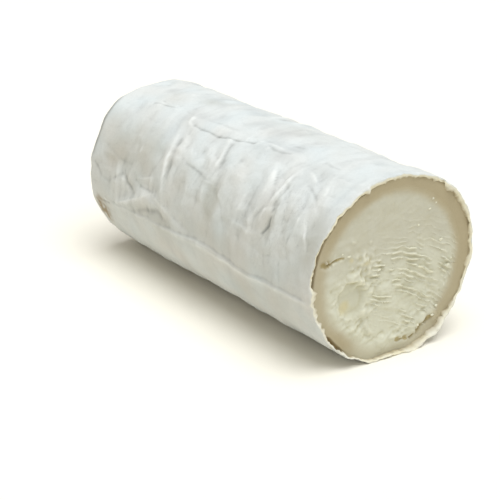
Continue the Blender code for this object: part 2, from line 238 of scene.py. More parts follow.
# Creases and crests: line through (x in mm, degrees), rise in mm (a crease is below 0), half width in
# mm, step up in mm on its upper side, painted shade along it (above 0) or painted highlight on it (below 0)
LINES = (
    (((-26, 28.5), (-20, 29.3), (-15, 29.2), (-8, 28.6), (-1, 27.3), (6, 25.8), (13, 23.5)),
     -0.26, 0.7, 0.35, 0.9),
    (((22.5, 22.6), (26, 23), (29, 22.5), (34, 20.3)), -0.20, 0.8, 0.30, 0.7),
    (((-16, 20), (-10, 19), (-3.6, 18.7)), -0.14, 1.0, 0.15, 0.35),
    (((30.6, 13.3), (34.5, 11.8)), -0.16, 0.9, 0.15, 0.5),
    (((52.6, 16.3), (57, 17.2), (61, 16.8)), -0.16, 1.0, 0.15, 0.45),
    (((-61, 24), (-54.4, 22.6), (-47.6, 22)), -0.30, 0.8, 0.40, 0.8),
    (((-27, 31), (-29.5, 28), (-30.5, 24), (-33, 20)), 0.25, 0.9, 0, -0.9),
    (((-60, 20), (-57.5, 21.5), (-54, 21)), 0.25, 0.9, 0, -0.8),
    (((-17, 40), (-14.5, 45), (-12, 50)), 0.28, 0.9, 0, -0.6),
    (((3.4, 30.4), (6.5, 42.2), (6.3, 53.1)), -0.22, 0.8, 0, 0.45),
    (((1.6, 31), (4.8, 42.5), (4.7, 53)), 0.28, 0.9, 0, -0.7),
    (((-13.6, 52.9), (-6.3, 53.9), (-1, 55.4), (4.3, 56.4)), -0.30, 0.8, 0.35, 0.8),
    (((4.6, 57), (4.2, 68.3), (9, 76.2)), 0.14, 0.9, 0, -0.3),
    (((20.2, 70.3), (16.9, 64.8), (11, 57.5)), 0.24, 0.9, 0, -0.5),
    (((36, 33.2), (38.5, 38), (40.5, 43)), 0.42, 1.0, 0, -1.2),
    (((46.3, 32), (46.9, 38), (46.8, 44), (45.4, 52)), 0.45, 1.0, 0, -1.2),
    (((48, 33), (48.7, 40), (48.4, 46), (47.2, 53)), -0.25, 0.8, 0, 0.5),
    (((50.4, 25.4), (55, 28), (58, 30.5), (60, 33)), 0.35, 1.0, 0, -1.0),
    (((57, 35), (62, 37.5), (66, 40.5), (68.5, 44.5)), -0.25, 0.8, 0, 0.55),
    (((65.9, 29.2), (68, 34), (69.2, 39.5)), 0.35, 1.0, 0, -0.9),
    (((48.7, 55), (48.8, 57)), -0.30, 0.6, 0, 1.3),
    (((49.2, 60.5), (49.1, 65.5)), -0.36, 0.6, 0, 1.7),
    (((49.1, 65.5), (48.4, 68), (47, 71)), -0.36, 0.6, 0, 1.7),
    (((33, 48), (34.2, 58), (33.6, 68), (32.5, 79)), -0.18, 1.0, 0, 0.35),
    (((28.8, 50), (29.9, 62), (30, 80)), 0.20, 1.1, 0, -0.35),
    (((53, 42), (54, 52), (53.6, 64)), 0.18, 1.0, 0, -0.3),
    (((58, 45), (59, 54), (58, 66)), -0.16, 0.9, 0, 0.3),
    (((64.2, 52), (65.6, 62.5)), 0.28, 0.9, 0, -0.7),
    (((66.6, 53.2), (69.5, 58), (72, 64.5)), 0.28, 0.9, 0, -0.7),
    (((63.8, 64), (63.5, 69.5)), -0.30, 0.8, 0, 0.7),
    (((64, 25.6), (67.5, 22.6), (72, 23.6), (77, 22)), 0.20, 0.9, -0.25, -0.5),
    (((-28.6, 40), (-25.8, 55.7), (-23.9, 66.5), (-21.9, 76)), 0.42, 1.0, 0, -1.0),
    (((-26, 41), (-23.4, 55), (-21.4, 66)), -0.18, 1.0, 0, 0.3),
    (((-54.7, 74.4), (-51.9, 80.7), (-44.7, 85.9)), -0.28, 0.9, 0, 0.45),
    (((-44.1, 76.9), (-38, 79), (-32.3, 79.3)), -0.28, 0.9, 0, 0.5),
    (((-73.1, 103.1), (-67.7, 102.8)), -0.40, 0.8, 0, 1.0),
    (((-71.5, 99.5), (-68, 101)), 0.30, 0.9, 0, -0.9),
    (((-61, 99.5), (-50, 93), (-39, 86.7), (-31.3, 80.7)), 0.60, 1.5, 0, -1.0),
    (((-31.3, 80.7), (-24.7, 83.2), (-17, 87), (-8, 91)), 0.55, 1.3, 0, -0.9),
    (((-44, 97), (-36, 93.5), (-26, 90.5), (-19, 93)), -0.50, 1.8, 0, 0.6),
    (((-45, 76), (-36, 72), (-28, 68.7)), 0.36, 1.2, 0, -0.6),
    (((-74, 84), (-66, 86), (-55, 77.2), (-47.3, 84.9)), -0.30, 1.4, 0, 0.35),
    (((68, 53.5), (70.5, 60), (72.5, 65), (74.7, 72)), 0.22, 0.8, 0, -0.9),
    (((-79, 78), (-73.4, 83.3)), -0.28, 0.9, 0, 0.5),
    (((-72, 64), (-62, 68.5), (-50, 68.5)), -0.20, 1.2, 0, 0.3),
    (((-60, 100), (-20, 97.5), (5, 95), (16, 95.2), (26, 97.2), (41, 98.4), (51, 98), (74, 97)),
     -0.10, 0.7, 0.95, 0.25),
    (((-20, 99.5), (10, 97.4), (26, 99), (41, 100.4), (51, 99.8), (62, 99.2), (73, 98.8)),
     0.25, 0.9, 0, -1.2),
)

# The same for the back: how many seeded lines, of which kinds, and two long seams
HIDDEN_LINES = 22
LINE_SEED = 12
HIDDEN_KINDS = (
    (0.40, 1.0, 0, -1.0),
    (-0.28, 0.8, 0, 0.6),
    (0.28, 0.9, 0, -0.6),
    (-0.34, 0.7, 0, 1.0),
    (-0.22, 0.9, 0.25, 0.5),
)
HIDDEN_SEAMS = (
    (((-58, -52), (-30, -48), (-6, -50), (14, -46), (38, -49)), -0.24, 0.7, 0.35, 0.7),
    (((-70, -104), (-20, -101), (20, -103), (70, -99)), -0.12, 0.7, 0.8, 0.3),
)

# Where the skin is crumpled: x, degrees, half length, half width across, how strongly
CRUMPLED = (
    (0.052, 58, 0.018, 0.020, 0.75),
    (0.005, 55, 0.030, 0.016, 0.35),
    (-0.045, 80, 0.030, 0.018, 0.35),
    (0.020, 122, 0.060, 0.014, -0.20),
    (0.045, -62, 0.018, 0.018, 0.45),
    (-0.045, -85, 0.024, 0.018, 0.35),
    (0.010, -125, 0.030, 0.014, 0.25),
)
CALM = 0.32  # how strongly it is crumpled elsewhere

# Greyer or tanner patches of the rind, whiter below 0: x, degrees, half length, half width across,
# strength and how sharply it ends
PATCHES = (
    (0.0115, 67, 0.0050, 0.0086, 0.70, 4.0),
    (-0.0390, 1, 0.0060, 0.0045, 0.50, 1.6),
    (-0.0655, 66, 0.0075, 0.0050, 0.30, 2.0),
    (-0.0740, 50, 0.0100, 0.0090, 0.28, 2.4),
    (-0.0570, 52, 0.0150, 0.0110, 0.34, 2.4),
    (-0.0400, 58, 0.0100, 0.0120, 0.34, 2.4),
    (-0.0560, 68, 0.0150, 0.0045, 0.22, 1.6),
    (-0.0330, 94, 0.0120, 0.0040, 0.40, 2.0),
    (-0.0200, 96, 0.0100, 0.0060, 0.20, 1.6),
    (0.0200, 88, 0.0140, 0.0050, 0.25, 2.0),
    (0.0500, 110, 0.0260, 0.0100, 0.25, 1.6),
    (0.0752, 60, 0.0052, 0.0110, 0.50, 4.0),
    (0.0490, 66, 0.0030, 0.0090, 0.30, 2.0),
    (0.0600, 70, 0.0060, 0.0100, 0.20, 1.6),
    (-0.0120, 62, 0.0040, 0.0090, 0.20, 1.6),
    (0.0560, 24, 0.0120, 0.0030, 0.20, 1.6),
    (-0.0080, 21, 0.0200, 0.0045, -0.40, 2.0),
    (0.0200, -6, 0.0200, 0.0050, 0.22, 2.0),
    (-0.0560, 14, 0.0080, 0.0060, 0.22, 2.0),
    (-0.0100, 38, 0.0120, 0.0050, -0.30, 1.6),
    (0.0430, 38, 0.0160, 0.0080, -0.32, 1.6),
    (0.0500, -95, 0.0160, 0.0100, 0.35, 2.0),
    (-0.0300, -70, 0.0100, 0.0140, 0.35, 2.0),
    (-0.0100, -140, 0.0200, 0.0120, 0.40, 2.0),
)
TORN_SPOT = (-0.0757, 112, 0.0044, 0.0076)  # the rind is torn at the far edge: x, degrees, half sizes
# Painted shadow line along the far edge, where it turns away from the light.
SHADED_FAR_EDGE = (52, 22)  # stretch of the far edge with a dark line: middle and half width in degrees
# Corner of the far edge: degrees, half width, how far it stands out along X and outwards
FAR_CORNER = (35, 17, 0.0016, 0.0014)

# How finely each shape is divided
AROUND = 384
FRONT_DENSITY = 1.45
WALL_STATIONS = 220
NEAR_DENSITY = 1.4
EDGE_STATIONS = 6
END_STATIONS = 20
PASTE_AROUND = 720
PASTE_STATIONS = 34
CORE_STEPS = 280

# The hidden backs of the rind and the paste keep clear of each other: radius and X of the floor
RIND_BACK = (0.0363, END_X + END_WALL - 0.0015)
PASTE_BACK = (0.0361, END_X + END_WALL - 0.0013)
END_FACE_RADIUS = LOG_RADIUS - END_EDGE_RADIUS

# Noise on the rind: size along the log, features in a radian round it, shift to another stretch of noise
RIND_NOISE = {
    "slow swell": (0.045, 1.1, 0.0),
    "quick swell": (0.011, 1.6, 0.0),
    "lines along": (0.007, 5.0, 3.0),
    "lines round": (0.007, 5.0, 7.0),
    "skin along": (0.014, 3.0, 5.0),
    "skin round": (0.012, 3.0, 9.0),
    "tall wrinkles": (0.0056, 2.0, 11.0),
    "small wrinkles": (0.0026, 4.2, 17.0),
    "lengthwise wrinkles": (0.020, 8.0, 23.0),
    "hollows": (0.0100, 3.6, 2.0),
    "crests": (0.0052, 5.5, 40.0),
    "broad grey": (0.024, 2.2, 21.0),
    "grey": (0.0060, 1.8, 27.0),
    "grey streaks": (0.0130, 5.0, 61.0),
    "fine grey": (0.0024, 4.0, 31.0),
    "stains": (0.012, 2.6, 35.0),
    "tints": (0.010, 3.4, 71.0),
    "torn rind": (0.002, 18.0, 0.0),
    "crumbly lip": (0.5, 11.0, 33.0),
}

# Noise on the paste: size and shift
PASTE_NOISE = {
    "slow ripple drift": (0.009, 0.0),
    "quick ripple drift": (0.0042, 3.0),
    "ripple height": (0.010, 5.0),
    "short ripples": (0.0030, 27.0),
    "short ripple patches": (0.006, 7.0),
    "scoop rim": (0.005, 33.0),
    "coarse grain": (0.0055, 13.0),
    "grain": (0.0026, 19.0),
    "fine grain": (0.0011, 23.0),
    "swell": (0.009, 29.0),
    "lump rim": (0.0032, 37.0),
    "crack drift": (0.0028, 39.0),
    "crack bridges": (0.0020, 45.0),
    "ring drift": (0.014, 41.0),
    "ring rim": (0.004, 43.0),
    "mottle": (0.007, 47.0),
    "spot rim": (0.003, 51.0),
}

# Heights of the rind's relief
SLOW_SWELL = 0.0009
QUICK_SWELL = 0.0006
HOLLOW_DEPTH = 0.0017
CREST_HEIGHT = 0.0011
TALL_WRINKLE = 0.00075
SMALL_WRINKLE = 0.00030
LENGTHWISE_WRINKLE = 0.00060
PLEAT = 0.0005
FINE_PLEAT = 0.00015
DIMPLE = 0.0012
END_SHARE = 0.9  # share of the wrinkles on the far end

# How far lines and wrinkles wander, and how steeply the two sides of a crest and a fold fall
LINE_DRIFT = 0.0005
SKIN_DRIFT = 0.0022
SKIN_TURN = 5.0
CREST_SIDES = (0.42, 1.7)
FOLD_SIDES = (0.65, 1.5)
STEP_EDGE = 0.0006
STEP_REACH = 0.007

# Heights of the paste's relief, and last how much relief counts as a full crest in the painted shade and
# highlights of the colours
COARSE_GRAIN = 0.00125
GRAIN = 0.00050
FINE_GRAIN = 0.00012
SMEAR = 0.00060
SMEAR_SIZE = (0.0052, 0.0021)
RIND_CREST = 0.00018
RING_CREST = 0.00024
CORE_CREST = 0.00022

TINT_SWING = (0.030, -0.006, -0.030)  # how far the rind's tints shift red, green and blue
FLOOR_HALF = 3.0  # half of the side of the stage's floor

# Crumbs that lie on the cut: y, z and size in mm
CRUMBS = (
    (24, 7, 0.7), (28, -5, 0.75), (30, -2.5, 0.45), (17, 22, 0.6), (18.5, 26, 0.5), (20, 24, 0.45),
    (12, 16, 0.55), (-22, 10.5, 0.7), (-25, 12, 0.5), (23, -22, 0.8), (21, -25.5, 0.7), (14, -28.5, 0.6),
)
CRUMB_SEED = 5


def bell(distance):
    return np.exp(-distance * distance)


def smooth_step(low, high, value):
    share = np.clip((value - low) / (high - low), 0.0, 1.0)
    return share * share * (3 - 2 * share)


def angle_between(first, second):
    return (first - second + 180) % 360 - 180


def arc_between(first, second):
    """Length on the rind from the second angle to the first."""
    return angle_between(first, second) * PER_DEGREE


def noise_at(points, size, shift=0.0):
    """Smooth noise at each row of points, about -0.6 to 0.6, with features of the given size."""
    return np.array([noise.noise(p) for p in (points / size + shift).tolist()])


def skin_points(name, x, degrees):
    """Points for noise that closes on itself round the log and runs on across the far end."""
    along, around, shift = RIND_NOISE[name]
    turn = np.radians(degrees)
    reach = around * np.clip(1 - (END_X - x) / END_FACE_RADIUS, 0.0, 1.0)
    points = (np.maximum(x, END_X) / along, reach * np.cos(turn), reach * np.sin(turn))
    return np.stack(points, axis=1) + shift


def rind_noise(name, x, degrees):
    return noise_at(skin_points(name, x, degrees), 1.0)


def rind_cells(name, x, degrees):
    """Distance to the middle of the nearest of the cells that cover the rind."""
    return np.array([noise.voronoi(p)[0][0] for p in skin_points(name, x, degrees).tolist()])


def paste_noise(name, flat):
    return noise_at(flat, *PASTE_NOISE[name])


def from_spot(x, degrees, spot):
    """How far points of the rind lie from a spot's middle, as a share of its half sizes."""
    at_x, at_degrees, half_x, half_across = spot
    return np.hypot((x - at_x) / half_x, arc_between(degrees, at_degrees) / half_across)


def off_segment(start, end, u, v):
    """Share along a stretch, signed distance off it and distance past its ends, for flat points."""
    run_u, run_v = end[0] - start[0], end[1] - start[1]
    length = math.hypot(run_u, run_v)
    off_u, off_v = u - start[0], v - start[1]
    along = (off_u * run_u + off_v * run_v) / (length * length)
    across = (off_u * run_v - off_v * run_u) / length
    past = np.maximum(np.maximum(0.0, -along), along - 1) * length
    return along, across, past


def hidden_folds():
    """Seeded broad folds for the back of the log."""
    draw = random.Random(FOLD_SEED)
    folds = []
    for _ in range(HIDDEN_FOLDS):
        x = draw.uniform(END_X + 0.012, CUT_X - 0.010)
        degrees = draw.uniform(HIDDEN_FROM, HIDDEN_TO)
        turn = draw.uniform(10, 30)
        drift = draw.uniform(-0.010, 0.010)
        height = draw.choice((-0.0008, 0.0008, 0.0011))
        lean = draw.choice((-1, 1)) if height > 0 else 0
        folds.append((x, degrees, x + drift, degrees + turn, 0.0025, height, lean))
    folds.append((-0.070, -104, 0.055, -96, 0.0026, 0.0006, 1))
    return folds


def hidden_lines():
    """Seeded creases and crests for the back, of the kinds that show in front, and two long seams."""
    draw = random.Random(LINE_SEED)
    lines = list(HIDDEN_SEAMS)
    for _ in range(HIDDEN_LINES):
        mm = draw.uniform(-76, 70)
        start = draw.uniform(-150, -30)
        turn = draw.uniform(10, 26)
        drift = draw.uniform(-9, 9)
        middle = (mm + 0.5 * drift + draw.uniform(-3, 3), start + 0.5 * turn)
        line = ((mm, start), middle, (mm + drift, start + turn))
        lines.append((line,) + draw.choice(HIDDEN_KINDS))
    return lines


def broad_relief(x, degrees):
    """The relief that the solids have: swells, folds, dents."""
    relief = SLOW_SWELL * rind_noise("slow swell", x, degrees)
    relief += QUICK_SWELL * rind_noise("quick swell", x, degrees)
    for x1, degrees1, x2, degrees2, half_width, height, lean in list(SHOWN_FOLDS) + hidden_folds():
        end = (x2, arc_between(degrees2, degrees1))
        _, across, past = off_segment((x1, 0.0), end, x, arc_between(degrees, degrees1))
        reach = np.where(across * lean > 0, *FOLD_SIDES) * half_width if lean else half_width
        relief += height * bell(across / reach) * bell(past / (1.5 * half_width))
    for *spot, height in SWELLINGS:
        relief += height * bell(from_spot(x, degrees, spot))
    return relief


def off_line(line, x, degrees):
    """Distance to a line of (mm, degrees) points, the side that it is on and the share of the line run."""
    nearest = np.full(len(x), 1.0)
    side = np.zeros(len(x))
    run = np.zeros(len(x))
    middle = line[len(line) // 2][1]
    v = arc_between(degrees, middle)
    flat = [(mm / 1000, (turn - middle) * PER_DEGREE) for mm, turn in line]
    for step, (start, end) in enumerate(zip(flat, flat[1:])):
        along, across, past = off_segment(start, end, x, v)
        distance = np.hypot(across, past)
        closer = distance < nearest
        nearest = np.where(closer, distance, nearest)
        side = np.where(closer, np.sign(across), side)
        run = np.where(closer, (step + np.clip(along, 0, 1)) / (len(flat) - 1), run)
    return nearest, side, run


def line_relief(row, x, degrees):
    """Relief of one crease, crest or step, with painted shade along a crease or step and a painted highlight
    on a crest, plus a thin painted shadow line beside its steep side. It fades towards the ends of its line.
    """
    line, rise, half_width, step, shade = row
    distance, side, run = off_line(line, x, degrees)
    fade = smooth_step(0.0, 0.35, run) * smooth_step(1.0, 0.6, run)
    taper = 0.25 + 0.75 * fade if rise > 0 else 0.7 + 0.3 * fade
    far = distance * 1000 / half_width
    if rise > 0:
        far = far * np.where(side < 0, *CREST_SIDES)
    relief = taper * rise / 1000 * np.exp(0.316 - np.sqrt(far * far + 0.1))
    if step:
        up = smooth_step(-STEP_EDGE, STEP_EDGE, -side * distance * math.copysign(1, step))
        relief += 0.7 * abs(step) / 1000 * up * np.exp(-distance / STEP_REACH)
    # A crest gets a painted highlight, wide on its gentle side, and a thin painted shadow line beside its
    # steep side; a crease or step gets painted shade.
    if shade < 0:
        wide, narrow = np.exp(-((distance / 0.0017) ** 1.3)), bell(distance / 0.0004)
        painted_shade = np.where(side > 0, bell((distance - 0.0008) / 0.0004), 0.0)
        shade_and_highlight = taper * shade * (np.where(side < 0, wide, narrow) - 0.4 * painted_shade)
    else:
        shade_and_highlight = taper * shade * np.exp(-((far * 1.15) ** 1.6))
    return relief, shade_and_highlight


def crumpling(x, degrees):
    """How strongly the skin is crumpled at each point."""
    share = np.full(len(x), CALM)
    for *spot, strength in CRUMPLED:
        share += strength * bell(from_spot(x, degrees, spot) ** 1.5)
    return share


def fine_relief(x, degrees):
    """Creases, crests and crumples on top of the broad relief, with painted shade in their valleys and
    painted highlights on their crests.
    """
    at_x = x + LINE_DRIFT * rind_noise("lines along", x, degrees)
    at_degrees = degrees + LINE_DRIFT * rind_noise("lines round", x, degrees) / PER_DEGREE
    relief, shade_and_highlight = np.zeros(len(x)), np.zeros(len(x))
    for row in list(LINES) + hidden_lines():
        rise, shade = line_relief(row, at_x, at_degrees)
        relief += rise
        shade_and_highlight += shade
    skin_x = x + SKIN_DRIFT * rind_noise("skin along", x, degrees)
    skin_degrees = degrees + SKIN_TURN * rind_noise("skin round", x, degrees)
    tall = np.abs(rind_noise("tall wrinkles", skin_x, skin_degrees))
    small = np.abs(rind_noise("small wrinkles", skin_x, skin_degrees))
    lengthwise = np.abs(rind_noise("lengthwise wrinkles", x, skin_degrees))
    hollows = rind_cells("hollows", skin_x, skin_degrees)
    crests = rind_cells("crests", skin_x, skin_degrees)
    share = crumpling(x, degrees)
    relief += (0.35 + 0.65 * share) * HOLLOW_DEPTH * (hollows - 0.5)
    relief -= share * CREST_HEIGHT * (crests - 0.5)
    relief += share * (TALL_WRINKLE * (tall - 0.2) - SMALL_WRINKLE * (small - 0.2))
    relief += (0.25 + 0.3 * share) * LENGTHWISE_WRINKLE * (lengthwise - 0.2)
    # Painted shade along the valleys of the tall and lengthwise wrinkles, painted highlight along the crests
    # of the small ones.
    shade_and_highlight += share * (0.28 * np.exp(-tall / 0.025) - 0.20 * np.exp(-small / 0.035))
    shade_and_highlight += 0.12 * np.exp(-lengthwise / 0.03)
    return relief, shade_and_highlight


def along_table(table, column, degrees):
    """One column of a table by angle, run smoothly between its rows."""
    value = np.zeros(len(degrees))
    for before, after in zip(table, table[1:]):
        inside = (degrees >= before[0]) & (degrees <= after[0])
        share = smooth_step(before[0], after[0], degrees)
        value = np.where(inside, before[column] + (after[column] - before[column]) * share, value)
    return value


def raggedness(degrees, layers):
    """Noise round the rim, from layers of strength, fineness and shift."""
    turns = np.radians(degrees)
    ring = np.stack((np.cos(turns), np.sin(turns), np.zeros(len(turns))), axis=1)
    return sum(share * noise_at(ring * fineness, 1.0, shift) for share, fineness, shift in layers)


def lip_shape(degrees):
    """The lip at each angle in metres: height, width, gap, width of the gap and swelling. Last whiteness."""
    height, width, gap, gap_width, swell, white = [along_table(LIP, k, degrees) for k in range(1, 7)]
    ragged = raggedness(degrees, RAGGED_TIP)
    torn = raggedness(degrees, TORN_FOOT)
    height = np.maximum(-0.5, height + (0.30 + 0.16 * np.clip(height, 0, 2)) * ragged)
    width = np.maximum(0.5, width * (1 + 0.5 * torn) + 0.2 * torn)
    white = np.clip(white + 0.3 * ragged, 0, 1)
    return height / 1000, width / 1000, gap / 1000, gap_width / 1000, swell / 1000, white


def section(radius, degrees):
    """Y and Z of points of the sagging section, flatter below the nearer they are to its outside."""
    turn = np.radians(degrees)
    y = -radius * np.sin(turn)
    z = radius * np.cos(turn)
    z = np.where(z > 0, TOP_SAG * z, z)
    share = np.clip((radius - CORE_RADIUS) / (LOG_RADIUS - CORE_RADIUS), 0.0, 1.0)
    lowest = CORE_RADIUS + share * (REST_DROP - CORE_RADIUS)
    closeness = np.maximum(0.0, REST_BLEND - np.abs(z + lowest)) / REST_BLEND
    z = np.maximum(z, -lowest) + closeness * closeness * REST_BLEND / 4
    return y, z


def in_frame(x, y, z):
    """Points in the frame: the cut runs askew, and the middle line lies above the floor."""
    x = x + CUT_SKEW * y * smooth_step(END_X, CUT_X, x)
    return np.stack((x, y, z + REST_DROP), axis=1)


def tube_faces(rings, around):
    """Quads between closed rings of points, in order. Both ends stay open."""
    index = np.arange(rings * around).reshape(rings, around)
    ahead = np.roll(index, -1, axis=1)
    quads = np.stack((index[:-1], ahead[:-1], ahead[1:], index[1:]), axis=2)
    return quads.reshape(-1, 4).tolist()


def cap_faces(first, around, centre, outward):
    """Triangles that close a ring of points to its centre."""
    ring = [first + k for k in range(around)]
    pairs = zip(ring, ring[1:] + ring[:1])
    return [(b, a, centre) if outward else (a, b, centre) for a, b in pairs]


def add_object(name, data):
    made = bpy.data.objects.new(name, data)
    bpy.context.scene.collection.objects.link(made)
    return made


def add_piece(name, points, faces, colours, finish, sharp_from):
    """Makes one visible piece with a colour at each point."""
    mesh = bpy.data.meshes.new(name)
    mesh.from_pydata(points.tolist(), [], faces)
    mesh.update()
    tint = mesh.color_attributes.new("tint", "FLOAT_COLOR", "POINT")
    rgba = np.ones((len(points), 4), dtype=np.float32)
    rgba[:, :3] = np.clip(colours, 0.0, 1.0)
    tint.data.foreach_set("color", rgba.ravel())
    mesh.materials.append(finish)
    mesh.shade_smooth()
    mesh.set_sharp_from_angle(angle=math.radians(sharp_from))
    return add_object(name, mesh)


def mix_colours(first, second, share):
    share = np.clip(share, 0.0, 1.0)[:, None]
    return np.asarray(first)[..., :3] * (1 - share) + np.asarray(second)[..., :3] * share


def blurred(grid, reach, wrap):
    """Box blur of a grid along both ways. The second way wraps round if asked."""
    out = grid
    for axis in (0, 1):
        pad = [(0, 0), (0, 0)]
        pad[axis] = (reach, reach)
        wide = np.pad(out, pad, mode="wrap" if wrap and axis == 1 else "edge")
        size = out.shape[axis]
        total = sum(np.take(wide, range(k, k + size), axis=axis) for k in range(2 * reach + 1))
        out = total / (2 * reach + 1)
    return out


def relief_tone(heights, shape, reach, wrap, full):
    """How far each point stands above its surroundings, as a share of a full crest."""
    grid = heights.reshape(shape)
    return (grid - blurred(grid, reach, wrap)).ravel() / full


def add_node(tree, kind, inputs=(), **settings):
    """Adds a shader node with its settings. Each input is a socket to link or a value to set."""
    node = tree.nodes.new(kind)
    for field, value in settings.items():
        setattr(node, field, value)
    for place, value in dict(inputs).items():
        if isinstance(value, bpy.types.NodeSocket):
            tree.links.new(value, node.inputs[place])
        else:
            node.inputs[place].default_value = value
    return node


def add_range(tree, value, low, high, to_low, to_high):
    inputs = {"Value": value, "From Min": low, "From Max": high, "To Min": to_low, "To Max": to_high}
    return add_node(tree, "ShaderNodeMapRange", inputs).outputs["Result"]


def add_maths(tree, operation, *values):
    return add_node(tree, "ShaderNodeMath", dict(enumerate(values)), operation=operation).outputs["Value"]


def cheese_finish(name, roughness, grain, grain_size, creased=0.0):
    """Finish whose colour comes from the points, with a fine grain and, on the rind, fine creases with
    painted shade along them.
    """
    made = bpy.data.materials.new(name)
    made.use_nodes = True
    tree = made.node_tree
    shader = tree.nodes["Principled BSDF"]
    shader.inputs["Roughness"].default_value = roughness
    shader.inputs["Specular IOR Level"].default_value = 0.25
    place = add_node(tree, "ShaderNodeTexCoord").outputs["Object"]
    colour = add_node(tree, "ShaderNodeAttribute", attribute_name="tint").outputs["Color"]
    inputs = {"Vector": place, "Scale": grain_size, "Detail": 4.0}
    speckle = add_node(tree, "ShaderNodeTexNoise", inputs).outputs["Fac"]
    level = add_range(tree, speckle, 0.3, 0.7, 1.0 - grain, 1.0 + grain)
    inputs = {"Height": speckle, "Strength": 0.3, "Distance": 0.0002}
    bump = add_node(tree, "ShaderNodeBump", inputs).outputs["Normal"]
    if creased:
        spread = add_node(tree, "ShaderNodeAttribute", attribute_name="spread").outputs["Vector"]
        inputs = {"Vector": spread, "Scale": (330, 190, 0)}
        stretch = add_node(tree, "ShaderNodeMapping", inputs).outputs["Vector"]
        inputs = {"Vector": stretch, "Scale": 1.0, "Detail": 3.0, "Distortion": 0.8}
        fibre = add_node(tree, "ShaderNodeTexNoise", inputs).outputs["Fac"]
        near = add_maths(tree, "ABSOLUTE", add_maths(tree, "SUBTRACT", fibre, 0.5))
        hairline = add_range(tree, near, 0.0, 0.016, 1.0, 0.0)
        crumpled = add_node(tree, "ShaderNodeSeparateXYZ", {"Vector": spread}).outputs["Z"]
        # Painted shade along the hairline creases, where the crumpling is strong.
        line = add_maths(tree, "MULTIPLY", hairline, crumpled)
        level = add_maths(tree, "MULTIPLY_ADD", line, -0.13, level)
        inputs = {"Height": near, "Normal": bump, "Strength": creased, "Distance": 0.0004}
        bump = add_node(tree, "ShaderNodeBump", inputs).outputs["Normal"]
    vary = add_node(tree, "ShaderNodeVectorMath", {0: colour, "Scale": level}, operation="SCALE")
    tree.links.new(vary.outputs["Vector"], shader.inputs["Base Color"])
    tree.links.new(bump, shader.inputs["Normal"])
    return made


def uneven_steps(low, high, count, density):
    """Numbers from low to high whose spacing follows a density function."""
    fine = np.linspace(low, high, 2000)
    total = np.concatenate(([0.0], np.cumsum(density(0.5 * (fine[1:] + fine[:-1])))))
    return np.interp(np.linspace(0, total[-1], count), total, fine)


def round_density(angle):
    """How close the rind's points lie round the log: closer on the side that has most detail."""
    return 1 + (FRONT_DENSITY - 1) * smooth_step(-60, -40, angle) * smooth_step(150, 125, angle)


def wall_density(minus_x):
    """How close the wall's rings lie, by minus X: closer near the cut."""
    return NEAR_DENSITY - (NEAR_DENSITY - 1) * smooth_step(0.015, 0.060, minus_x + CUT_X)


def rind_profile():
    """Stations of the rind: place along it, radius and part. Lip stations hold rows of the lip tables."""
    inside = LOG_RADIUS - RIND_THICKNESS
    back, floor = RIND_BACK
    points = [(floor, 0.5 * back, "inner"), (floor, back, "inner")]
    points += [(CUT_X - 0.0064, back, "inner"), (CUT_X - 0.0040, inside - 0.0006, "inner")]
    points += [(step, step, "lip") for step in range(len(SLOPED_LIP))]
    wall_to = END_X + END_EDGE_RADIUS
    for x in -uneven_steps(-CUT_X, -wall_to, WALL_STATIONS, wall_density):
        points.append((x, LOG_RADIUS, "wall"))
    for step in range(1, EDGE_STATIONS + 1):
        turn = 0.5 * math.pi * step / EDGE_STATIONS
        drop = END_EDGE_RADIUS * (1 - math.cos(turn))
        points.append((wall_to - END_EDGE_RADIUS * math.sin(turn), LOG_RADIUS - drop, "edge"))
    for step in range(1, END_STATIONS):
        share = 1 - step / END_STATIONS
        points.append((END_X - END_DOME * (1 - share * share), END_FACE_RADIUS * share, "end"))
    return points


def end_pleats(radius, degrees):
    """Gathered folds of the rind over the far end, with a dimple in the middle."""
    turn = np.radians(degrees)
    ring = np.stack((radius / 0.012, np.cos(turn), np.sin(turn)), axis=1)
    pleat = np.abs(np.sin(5.5 * (turn + 0.6 * noise_at(ring, 1.0)))) - 0.5
    fine = np.abs(np.sin(13 * turn + 4 * noise_at(ring, 0.6, 4.0))) - 0.5
    gathered = smooth_step(0.004, 0.024, radius)
    return (PLEAT * pleat + FINE_PLEAT * fine) * gathered - DIMPLE * bell(radius / 0.006)


